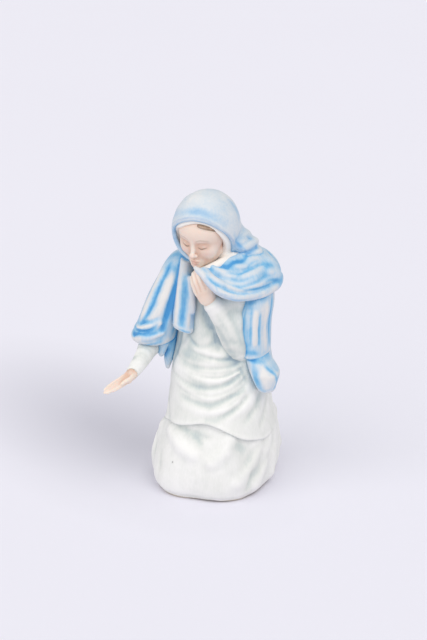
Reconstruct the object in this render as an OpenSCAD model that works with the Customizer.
// Kneeling devotional figure, built as the set of clay castings that a maker lutes together
// before firing. +Z is up, the knees face -Y, and +X is the figure's own left side.
// The origin is the middle of the foot, on the surface that the figure stands on.

/* [Figure] */
// Height from the foot to the crown of the hood
figure_height = 170; // [120:1:240]
// Wall thickness of the hollow skirt and overdress castings
cast_wall = 3.2; // [2:0.1:4.4]
// Thickness of the floor slab that closes the foot
floor_thickness = 3.5; // [2.5:0.1:4.5]
// Radius of the kiln vent through the floor slab
vent_radius = 4; // [2.5:0.1:6]

/* [Skirt] */
// Half of the width across the knees
knee_half_width = 33; // [31:0.5:35]
// Reach of the knees in front of the origin
knee_reach = 35; // [33:0.5:37]
// Reach of the covered heels behind the origin
heel_reach = 40; // [38:0.5:42]
// Height of the overdress hem at the middle of the front
hem_height = 44.5; // [41:0.5:48]

/* [Head] */
// Forward bow of the head, in degrees
head_bow = 26; // [20:1:32]
// Turn of the head towards the right shoulder, in degrees
head_turn = 10; // [4:1:16]
// Lean of the crown towards the left shoulder, in degrees
head_lean = 4; // [0:1:8]

/* [Mantle] */
// Thickness of the hood's cloth
hood_cloth = 1.8; // [1.4:0.1:2.4]
// Depth of the gathers in the hanging cloth
gather_depth = 1; // [0.6:0.05:1.3]

/* [Hidden] */

design_height = 170;
size = figure_height / design_height;

ring_points = 40;
roll_fn = 10;
cloth_fn = 8;
body_fn = 20;

cloth_white = [0.93, 0.94, 0.93];
mantle_blue = [0.55, 0.74, 0.88];
skin = [0.93, 0.82, 0.77];
hair_brown = [0.45, 0.36, 0.30];
bare_clay = [0.86, 0.82, 0.75];

// Places on the figure
head_centre = [-1.3, -15, 148];
neck_base = [3, -4, 119];
right_wrist = [-34.2, -36.5, 73];
left_wrist = [5.6, -24.5, 111.5];

// Rings of the body: height, middle x, half width, reach in front, reach behind
skirt_profile = [
    [0, -0.9, knee_half_width - 4.5, knee_reach - 5, heel_reach - 4.5],
    [2, -0.9, knee_half_width - 2, knee_reach - 2.2, heel_reach - 2.2],
    [6, -0.9, knee_half_width - 0.3, knee_reach - 0.5, heel_reach - 0.4],
    [12, -0.8, knee_half_width, knee_reach, heel_reach],
    [20, -0.2, knee_half_width - 0.6, knee_reach - 0.6, heel_reach - 0.8],
    [27, 0.6, knee_half_width - 1.8, knee_reach - 1.8, heel_reach - 3.4],
    [33, 1.6, knee_half_width - 3.2, knee_reach - 3.2, heel_reach - 8],
    [39, 2.4, knee_half_width - 4.8, knee_reach - 5, heel_reach - 13.4],
    [46, 2.8, knee_half_width - 7, knee_reach - 7.5, heel_reach - 18],
    [52, 2.8, knee_half_width - 8.6, knee_reach - 9.4, heel_reach - 20.6]
];
tunic_profile = [
    [26, 1.4, knee_half_width - 0.6, knee_reach - 0.6, heel_reach - 1],
    [32, 2.4, knee_half_width - 1.8, knee_reach - 1, heel_reach - 5.4],
    [38, 3, knee_half_width - 3.2, knee_reach - 2.2, heel_reach - 10.4],
    [46, 2.9, knee_half_width - 4.6, knee_reach - 4, heel_reach - 15.8],
    [56, 2.7, 27.4, 28.4, 20],
    [66, 2.4, 25.8, 25.8, 18],
    [76, 2.2, 24.2, 23.4, 16.5],
    [86, 2.4, 23, 21, 15.5],
    [96, 2.8, 22.6, 19.4, 15],
    [106, 3.2, 23, 18, 15],
    [112, 3.4, 22.4, 16.4, 14.5],
    [118, 3.2, 19, 13, 12.5],
    [122, 3, 13, 10, 10]
];
ring_power = 2.35;

// Rings of hanging cloth: height, middle x, middle y, half width, reach in front, reach behind
right_drape_profile = [
    [84.5, -31, -9.6, 11.2, 14.6, 15],
    [87.5, -30.6, -9.6, 11.4, 15, 16],
    [94, -28.6, -9, 11, 15.6, 17],
    [103, -26.2, -8, 10.6, 15.4, 17],
    [113, -22.4, -6.5, 10.2, 14.6, 16],
    [121, -19.4, -5, 9.6, 13.2, 14],
    [127, -17.5, -4.3, 8.6, 11.6, 12],
    [131, -16.2, -4, 6.6, 8.6, 9],
    [132.5, -15.6, -4, 3.4, 5, 5]
];
right_flap_profile = [
    [94.6, -12, -19.5, 4.8, 3.6, 3.6],
    [96, -12, -19.3, 5.6, 4.8, 4],
    [102, -12, -18.5, 5.6, 4.8, 4],
    [112, -11.4, -16.8, 5, 4.8, 4],
    [121, -12.2, -14, 3.6, 4.2, 4],
    [128.5, -13, -11.5, 2.4, 3.2, 3]
];
left_fall_profile = [
    [79.4, 24.6, -5.5, 5.6, 11.4, 9.6],
    [81, 24.6, -5.5, 6.8, 13, 11],
    [88, 24, -5.2, 7, 14.2, 12],
    [98, 23.8, -5, 7.2, 15, 13],
    [108, 24.8, -4.6, 7.8, 15, 12.6],
    [117, 25, -3, 7, 10, 11]
];
left_tail_profile = [
    [61.2, 32, -11, 2, 2.4, 2.4],
    [62.6, 32, -11, 4.6, 5.2, 5],
    [66, 31.4, -11, 6.8, 8, 8],
    [71, 30.4, -10.5, 7.8, 9.4, 9],
    [77, 28.8, -9.5, 7.4, 9.4, 9],
    [83, 27, -8, 6.4, 9, 8]
];

// ---------- Building blocks ----------

// Curve through points of any length, with steps parts between one point and the next
function curve(p, steps) = concat([
    for (i = [0:len(p) - 2], j = [0:steps - 1])
        let (t = j / steps, a = p[max(i - 1, 0)], b = p[i], c = p[i + 1],
             d = p[min(i + 2, len(p) - 1)])
        0.5 * (2 * b + (c - a) * t + (2 * a - 5 * b + 4 * c - d) * t * t
               + (3 * b - a - 3 * c + d) * t * t * t)
], [p[len(p) - 1]]);

// Value of column c of a profile at height z, eased by averaging near heights
function at(profile, z, c) =
    let (column = [for (row = profile) [row[0], row[c]]])
    (lookup(z - 2, column) + lookup(z, column) + lookup(z + 2, column)) / 3;

// Radius of an egg-shaped ring in the direction th, measured from the front (-Y) towards +X
function ring_radius(th, half_width, front, back) =
    let (reach = cos(th) > 0 ? front : back)
    pow(pow(abs(sin(th)) / half_width, ring_power)
        + pow(abs(cos(th)) / reach, ring_power), -1 / ring_power);

// Direction in degrees, brought between -180 and 180
function around(th) = th > 180 ? th - 360 : th;

// Smooth bump of height 1 round the direction middle
function bump(th, middle, spread) = exp(-pow(around(th - middle < -180 ? th - middle + 360
    : th - middle) / spread, 2));

// Forward swell of the two knees and of the two heels, fading out upwards
function limbs(th, z) =
    (z < 30 ? 1 : max(0, 1 - (z - 30) / 20))
    * (2.2 * bump(th, 24, 18) + 1.2 * bump(th, 332, 16) - 0.6 * bump(th, 358, 8)
       + 5 * bump(th, 144, 20) + 5 * bump(th, 216, 20) - 1.4 * bump(th, 180, 9));

// One point of the body's skin, pushed out by grow
function body_point(profile, th, z, grow) =
    let (r = grow + limbs(th, z)
             + ring_radius(th, at(profile, z, 2), at(profile, z, 3), at(profile, z, 4)))
    [at(profile, z, 1) + r * sin(th), -r * cos(th), z];

// Points of a fold that lies on the body: direction, height, radius, how deep it is sunk
function on_body(profile, arc) = [
    for (a = arc)
        let (p = body_point(profile, a[0], a[1], -a[3]))
        [p[0], p[1], p[2], a[2]]
];

function mean(points) = [
    for (k = [0:2]) [for (p = points) p[k]] * [for (p = points) 1] / len(points)
];

// Solid through a stack of rings that all have the same number of points
module loft(rings) {
    n = len(rings[0]);
    m = len(rings);
    points = concat([for (ring = rings) each ring], [mean(rings[0]), mean(rings[m - 1])]);
    sides = [
        for (j = [0:m - 2], i = [0:n - 1])
            let (a = j * n + i, b = j * n + (i + 1) % n)
            each [[a, a + n, b + n], [a, b + n, b]]
    ];
    low_cap = [for (i = [0:n - 1]) [m * n, i, (i + 1) % n]];
    high_cap = [
        for (i = [0:n - 1]) [m * n + 1, (m - 1) * n + (i + 1) % n, (m - 1) * n + i]
    ];
    polyhedron(points = points, faces = concat(sides, low_cap, high_cap), convexity = 6);
}

// Part of the body between two heights, where low and high may depend on direction
module body_solid(profile, low, high, steps, grow = 0, points = ring_points) {
    loft([
        for (j = [0:steps])
            [for (i = [0:points - 1])
                let (th = 360 * i / points, z = low(th) + (high(th) - low(th)) * j / steps)
                body_point(profile, th, z, grow)]
    ]);
}

// Cloth that hangs in gathers: a stack of rings with folds waves round it
module gathered(profile, folds, depth, points = 48, tilt = 0, steps = 1, grow = 0) {
    rows = curve(profile, steps);
    last = len(rows) - 1;
    loft([
        for (j = [0:last])
            let (row = rows[j], wave = gather_depth * depth * (1 - 0.7 * j / last))
            [for (i = [0:points - 1])
                let (th = 360 * i / points,
                     r = grow + ring_radius(th, row[3], row[4], row[5])
                         + wave * cos(folds * th + 40 * sin(2 * th)))
                [row[1] + r * sin(th), row[2] - r * cos(th), row[0] + tilt * r * sin(th)]]
    ]);
}

// Rounded roll of clay along points given as [x, y, z, radius]
module roll(path, fn = roll_fn, steps = 1) {
    line = curve(path, steps);
    for (i = [0:len(line) - 2])
        hull()
            for (p = [line[i], line[i + 1]])
                translate([p[0], p[1], p[2]]) sphere(r = p[3], $fn = fn);
}

module ellipsoid(centre, radii, fn = body_fn) {
    translate(centre) scale(radii) sphere(r = 1, $fn = fn);
}

// Moves its children from the head's own axes (face to -Y, crown to +Z) to the figure
module in_head() {
    translate(head_centre) rotate([head_bow, head_lean, -head_turn]) children();
}

// ---------- Dress ----------

function hem_z(th) =
    hem_height - 10 + 10 * bump(th, 6, 42) - 1.2 * bump(th, 40, 14) + 6 * bump(th, 180, 50);

module skirt_outer() {
    body_solid(skirt_profile, function(th) 0, function(th) 51, 14);
    roll(on_body(skirt_profile, [[322, 36, 2.2, 1.4], [338, 31, 2.6, 1.7], [354, 27, 2, 1.6]]));
    roll(on_body(skirt_profile, [[62, 34, 2.4, 1.6], [52, 22, 3, 1.8], [38, 12, 2.4, 1.8]]));
    roll(on_body(skirt_profile, [[84, 33, 2.6, 1.6], [72, 20, 3.2, 1.8], [58, 8, 2.4, 1.8]]));
    roll(on_body(skirt_profile, [[292, 32, 2.4, 1.6], [290, 18, 3, 1.7], [284, 7, 2.4, 1.8]]));
    roll(on_body(skirt_profile, [[106, 34, 2.6, 1.6], [100, 20, 3.2, 1.9], [92, 8, 2.6, 1.9]]));
}

module skirt_hollow() {
    body_solid(skirt_profile, function(th) floor_thickness - 0.1, function(th) 54, 7,
               -cast_wall, 28);
}

module floor_outline() {
    polygon([
        for (i = [0:ring_points - 1])
            let (th = 360 * i / ring_points,
                 p = body_point(skirt_profile, th, 0, 1 - cast_wall))
            [p[0], p[1]]
    ]);
}

module floor_slab() {
    color(bare_clay)
        difference() {
            linear_extrude(floor_thickness) floor_outline();
            translate([0, 14, -1]) cylinder(r = vent_radius, h = floor_thickness + 2, $fn = 64);
        }
}

module skirt_casting() {
    color(cloth_white)
        difference() {
            skirt_outer();
            skirt_hollow();
            translate([0, 0, -1]) linear_extrude(floor_thickness + 1) floor_outline();
            translate([-60, -60, -40]) cube([120, 120, 40]);
            translate([-60, -60, 49]) cube([120, 120, 20]);
        }
}

module tunic_outer() {
    body_solid(tunic_profile, function(th) hem_z(th), function(th) 122, 15);
    // Sagging folds across the waist and the hips
    sag([[288, 76, 2], [320, 67, 3.2], [352, 62, 3.4], [22, 62.5, 3.2], [52, 69, 2]]);
    sag([[284, 66, 2], [316, 57, 3.2], [350, 51.5, 3.6], [22, 53, 3.4], [56, 62, 2]]);
    sag([[296, 84, 1.8], [330, 75.5, 2.8], [2, 71, 3], [34, 74, 2]]);
    sag([[40, 57, 2], [58, 50, 3], [82, 46, 2]]);
    sag([[300, 54, 2], [322, 48.5, 3], [346, 46.5, 2]]);
}

// One fold that lies on the overdress, most of it sunk: direction, height, radius
module sag(arc) {
    roll(on_body(tunic_profile, [for (a = arc) [a[0], a[1], a[2], 0.62 * a[2]]]), cloth_fn, 2);
}

module tunic_hollow() {
    body_solid(tunic_profile, function(th) 20, function(th) 114, 9, -cast_wall, 28);
}

module tunic_casting() {
    color(cloth_white)
        difference() {
            tunic_outer();
            tunic_hollow();
            skirt_outer();
        }
}

// ---------- Arms ----------

module right_sleeve_shape() {
    roll([[-18, -1, 118, 6.5], [-29, -1, 92, 6.6], [-32.6, -9, 82, 6.8], [-33.2, -18, 79.6, 5.8],
          [-33.4, -28, 76.4, 4.6], [right_wrist[0], right_wrist[1], right_wrist[2], 3.6]],
         body_fn);
}

module right_hand_shape() {
    // Palm, open and upwards, then four fingers and the thumb
    hull() {
        translate([-34.4, -38, 72.6]) sphere(r = 2.4, $fn = roll_fn);
        translate([-36.6, -45, 70.4]) sphere(r = 2, $fn = roll_fn);
        translate([-40, -42.6, 71]) sphere(r = 1.8, $fn = roll_fn);
        translate([-33.6, -46, 69.9]) sphere(r = 1.8, $fn = roll_fn);
    }
    roll([[-40.4, -43, 71, 1.5], [-43.2, -47.6, 69.8, 1.35], [-44.8, -50.8, 68.4, 1.1]]);
    roll([[-38.4, -44.8, 70.7, 1.55], [-41.4, -50.6, 69.2, 1.4], [-43.2, -54.4, 67.2, 1.15]]);
    roll([[-36.2, -45.8, 70.3, 1.55], [-38.8, -52.2, 68.6, 1.4], [-40.6, -56.2, 66.6, 1.15]]);
    roll([[-34, -46.4, 69.9, 1.5], [-35.8, -52.4, 68.4, 1.35], [-37, -56, 67, 1.1]]);
    roll([[-32.6, -40.4, 72.4, 1.6], [-31, -45, 72, 1.5], [-31.2, -49.4, 71, 1.2]]);
}

module left_sleeve_shape() {
    roll([[22, 1, 113, 5.6], [22.6, -4, 96, 5.8], [22.6, -10, 85.6, 7], [18.6, -17, 91, 7.8],
          [12.4, -21.6, 102, 6.2], [left_wrist[0], left_wrist[1], left_wrist[2], 4.4]], body_fn);
}

module left_hand_shape() {
    // Back of the hand, then the fingers folded in under the chin
    hull() {
        translate([5, -25.4, 112.6]) sphere(r = 3.2, $fn = roll_fn);
        translate([-1.4, -26.6, 120.4]) sphere(r = 2.8, $fn = roll_fn);
        translate([4.2, -27, 122]) sphere(r = 3, $fn = roll_fn);
    }
    roll([[4.8, -28, 122, 2], [2, -29, 126, 1.7], [-1, -26.6, 127.8, 1.5]]);
    roll([[2.6, -28.4, 121.6, 2], [-0.4, -29.2, 125.2, 1.7], [-3, -26.6, 126.6, 1.5]]);
    roll([[0.4, -28.2, 120.6, 2], [-2.6, -28.6, 123.6, 1.7], [-4.6, -26, 124.8, 1.4]]);
    roll([[-1.6, -27.2, 119.2, 1.8], [-4.2, -27.2, 121.4, 1.6], [-5.6, -24.8, 122, 1.3]]);
    roll([[0, -23.8, 117, 1.9], [-3.2, -23.4, 120.6, 1.7], [-3.8, -23.4, 124, 1.4]]);
}

module right_sleeve() {
    color(cloth_white)
        difference() {
            right_sleeve_shape();
            tunic_outer();
        }
}

module right_hand() {
    color(skin)
        difference() {
            right_hand_shape();
            right_sleeve_shape();
        }
}

module left_sleeve() {
    color(cloth_white)
        difference() {
            left_sleeve_shape();
            tunic_outer();
        }
}

module left_hand() {
    color(skin)
        difference() {
            left_hand_shape();
            left_sleeve_shape();
            tunic_outer();
            head_shape();
        }
}

// ---------- Head ----------

// Head on even proportions: eyes half-way down, nose and mouth by thirds below them
module head_shape() {
    in_head() {
        hull() {
            ellipsoid([0, 2.2, 5.2], [13.2, 14.8, 12.4]);
            ellipsoid([0, -4.6, -2], [11, 8.2, 8.8]);
            ellipsoid([0, -7.8, -13.4], [4.8, 4, 3.6]);
        }
        hull() {
            ellipsoid([0, -12.2, 0.6], [0.9, 1, 1], roll_fn);
            ellipsoid([0, -14.4, -5], [1.3, 1.4, 1.1], roll_fn);
        }
        roll([[-2.2, -11.8, -8.4, 0.9], [0, -12.4, -8.4, 1], [2.2, -11.8, -8.4, 0.9]]);
        roll([[-5.6, -9.8, 1.2, 1.6], [-3.6, -10.8, 1.2, 1.6]]);
        roll([[5.6, -9.8, 1.2, 1.6], [3.6, -10.8, 1.2, 1.6]]);
    }
    hull() {
        in_head() translate([0, 3, -8]) sphere(r = 6.6, $fn = body_fn);
        translate(neck_base) sphere(r = 7, $fn = body_fn);
    }
}

module head_casting() {
    color(skin)
        difference() {
            head_shape();
            tunic_outer();
            hair_shape();
        }
}

module hair_shape() {
    in_head()
        for (side = [-1, 1])
            roll([
                [side * 0.8, -11, 12.6, 1.2], [side * 4.8, -10.6, 11.2, 1.5],
                [side * 8.6, -8.4, 8, 1.6], [side * 11.6, -5.2, 3, 1.5],
                [side * 12.4, -2.4, -3, 1.3]
            ]);
}

module hair_front() {
    color(hair_brown) hair_shape();
}

// ---------- Veil and mantle ----------

// Round shell over the head that runs down on to the shoulders
module bonnet_outer(grow, fn = 26) {
    in_head() ellipsoid([0, 2.4, 1.4], [14.3 + grow, 16.8 + grow, 16.6 + grow], fn);
    hull() {
        in_head() ellipsoid([1, 3.6, -4.6], [13.4 + grow, 12.6 + grow, 9 + grow]);
        translate([9, 0, 129]) sphere(r = 8 + grow, $fn = body_fn);
        translate([2, 3, 122]) sphere(r = 12 + grow, $fn = body_fn);
    }
}

module face_opening(half_width, brow, depth) {
    in_head()
        hull() {
            translate([0.6, -30, 0]) rotate([-90, 0, 0]) scale([half_width, brow, 1])
                cylinder(r = 1, h = 30 + depth, $fn = 32);
            translate([0, -34, -24]) rotate([-90, 0, 0]) scale([half_width * 0.86, 8, 1])
                cylinder(r = 1, h = 32 + depth, $fn = 32);
        }
}

module inner_veil() {
    color(cloth_white)
        difference() {
            bonnet_outer(1.3, 22);
            bonnet_outer(0, 22);
            face_opening(13.6, 15.2, 0.5);
            head_shape();
            hair_shape();
            tunic_outer();
            left_hand_shape();
        }
}

module mantle_hood() {
    color(mantle_blue)
        difference() {
            bonnet_outer(1.3 + hood_cloth);
            bonnet_outer(1.3, 22);
            face_opening(15.6, 17, 0);
            head_shape();
            tunic_outer();
            left_hand_shape();
        }
}

module hood_solid() {
    bonnet_outer(1.3 + hood_cloth);
}

// Cloth drawn from under the chin over the left shoulder in four sagging folds
module collar_shape() {
    roll([[0, -27, 130, 1.5], [6, -28.4, 126, 1.9], [11.4, -28.4, 121.4, 2.3],
          [17.6, -26.6, 118.8, 2.6], [24.6, -22, 117.2, 2.8], [30, -12.5, 117.2, 3],
          [33.2, 0, 118.2, 3.3], [29, 10, 119.6, 3.3], [18, 16, 121, 3]], cloth_fn, 2);
    roll([[7, -25.6, 128.4, 1.8], [13, -25.2, 124.6, 2.3], [19.6, -22.2, 122.6, 2.7],
          [26, -14.6, 122.4, 3], [31, -2, 124.2, 3.4], [26.6, 9, 125.6, 3.4], [15, 15, 126, 3]],
         cloth_fn, 2);
    roll([[9.4, -21, 130.6, 1.8], [15.2, -19.6, 128.4, 2.3], [21, -15, 128, 2.7],
          [26, -5, 130.2, 3.1], [23.6, 5.4, 132, 3.3], [13, 12.6, 131.6, 3]], cloth_fn, 2);
    roll([[12, -17, 132.4, 1.8], [17.6, -12.6, 133, 2.4], [21.4, -4, 136, 2.8],
          [18.4, 4.6, 137.4, 3], [8, 9.6, 136, 2.8]], cloth_fn, 2);
    hull() {
        translate([13.5, -21, 122.6]) sphere(r = 5.8, $fn = 16);
        translate([21.5, -12.6, 122]) sphere(r = 8.4, $fn = 16);
        translate([24.6, 0, 123.4]) sphere(r = 9.8, $fn = 16);
        translate([14, 6, 127]) sphere(r = 9.6, $fn = 16);
        translate([16, -1, 132]) sphere(r = 6.4, $fn = 16);
    }
}

module mantle_collar() {
    color(mantle_blue)
        difference() {
            collar_shape();
            hood_solid();
            tunic_outer();
            head_shape();
            left_hand_shape();
            left_sleeve_shape();
        }
}

// Cloth hanging over the left upper arm down to the elbow
module left_fall_shape() {
    gathered(left_fall_profile, 9, 1.3, 44);
}

module mantle_left_fall() {
    color(mantle_blue)
        difference() {
            left_fall_shape();
            collar_shape();
            hood_solid();
            tunic_outer();
            left_sleeve_shape();
        }
}

// Rounded end of the mantle that hangs below the left elbow
module left_tail_shape() {
    gathered(left_tail_profile, 5, 0.5, 28);
}

module mantle_left_tail() {
    color(mantle_blue)
        difference() {
            left_tail_shape();
            left_fall_shape();
            tunic_outer();
            left_sleeve_shape();
        }
}

// Cloth hanging over the right upper arm, open below round the forearm
module right_drape_shape() {
    gathered(right_drape_profile, 13, 1.9, 54);
    roll([[-26, -24, 86.6, 1.8], [-33, -22.6, 85.4, 2.2], [-39.4, -17, 84.2, 2.4],
          [-41.8, -9, 84, 2.4], [-39.8, 0, 84, 2]], roll_fn, 2);
}

module mantle_right_drape() {
    color(mantle_blue)
        difference() {
            right_drape_shape();
            hood_solid();
            tunic_outer();
            right_sleeve_shape();
            hull() {
                translate([-31.6, -10, 80]) scale([1, 1.25, 1]) cylinder(r = 9, h = 6, $fn = 32);
                translate([-30, -8, 94]) sphere(r = 5, $fn = 20);
            }
        }
}

// Front edge of the mantle that falls straight beside the right arm
module right_flap_shape() {
    gathered(right_flap_profile, 8, 1.2, 36, -0.35);
}

module mantle_right_flap() {
    color(mantle_blue)
        difference() {
            right_flap_shape();
            right_drape_shape();
            hood_solid();
            head_shape();
            tunic_outer();
            left_hand_shape();
            right_sleeve_shape();
        }
}

// Points of cloth that hang behind the right forearm
module right_tail_shape() {
    roll([[-24, -14.5, 88, 3.4], [-25.4, -14.5, 80, 2.8], [-26, -14.2, 76.6, 1.8]], 8);
    roll([[-22.6, -7, 90, 4], [-23.4, -8, 79, 3.4], [-23.8, -8.6, 71, 2.6],
          [-24, -8.8, 67, 1.6]], 8);
    roll([[-24, 1, 90, 4.4], [-24.4, -1, 79, 4], [-24.4, -2.4, 71, 3]], 8);
    roll([[-24.6, -13, 81.6, 2.6], [-23.6, -7, 81, 3.2], [-24.2, 0, 81, 3.2]], 8);
}

module mantle_right_tail() {
    color(mantle_blue)
        difference() {
            right_tail_shape();
            right_drape_shape();
            tunic_outer();
            right_sleeve_shape();
        }
}

// Mantle over the back, from the shoulders to the hips
back_low = 60;
back_high = 121;
module back_shape() {
    steps = 7;
    arc = 34;
    loft([
        for (j = [0:steps])
            let (z = back_low + (back_high - back_low) * j / steps,
                 wave = gather_depth * (1.5 - 0.7 * j / steps),
                 spread = 78 - 8 * j / steps)
            concat(
                [for (i = [0:arc])
                    let (th = 180 - spread + 2 * spread * i / arc,
                         edge = sin(180 * i / arc),
                         g = 0.8 + 4.4 * pow(edge, 0.5) + wave * edge * cos(i * 360 / 5.2),
                         zz = min(z, 116),
                         p = body_point(tunic_profile, th, zz, g))
                    [p[0], p[1], z - 4 * edge * (1 - j / steps)]],
                [for (i = [arc:-1:0])
                    let (th = 180 - spread + 2 * spread * i / arc,
                         p = body_point(tunic_profile, th, min(z, 116), -5))
                    [p[0], p[1], z]]
            )
    ]);
    // Cloth over the top of the shoulders
    hull() {
        translate([-11, 3, 117.6]) scale([1, 1.15, 1]) sphere(r = 12, $fn = 18);
        translate([15, 5, 117.6]) scale([1, 1.1, 1]) sphere(r = 12, $fn = 18);
        translate([2, 6, 122]) sphere(r = 12.6, $fn = 18);
    }
}

module mantle_back() {
    color(mantle_blue)
        difference() {
            back_shape();
            translate([-30, -42, 100]) cube([60, 40, 40]);
            collar_shape();
            left_fall_shape();
            left_tail_shape();
            right_drape_shape();
            right_tail_shape();
            hood_solid();
            tunic_outer();
            right_sleeve_shape();
            left_sleeve_shape();
        }
}

scale(size) {
    floor_slab();
    skirt_casting();
    tunic_casting();
    right_sleeve();
    right_hand();
    left_sleeve();
    left_hand();
    head_casting();
    hair_front();
    inner_veil();
    mantle_hood();
    mantle_collar();
    mantle_left_fall();
    mantle_left_tail();
    mantle_right_drape();
    mantle_right_flap();
    mantle_right_tail();
    mantle_back();
}
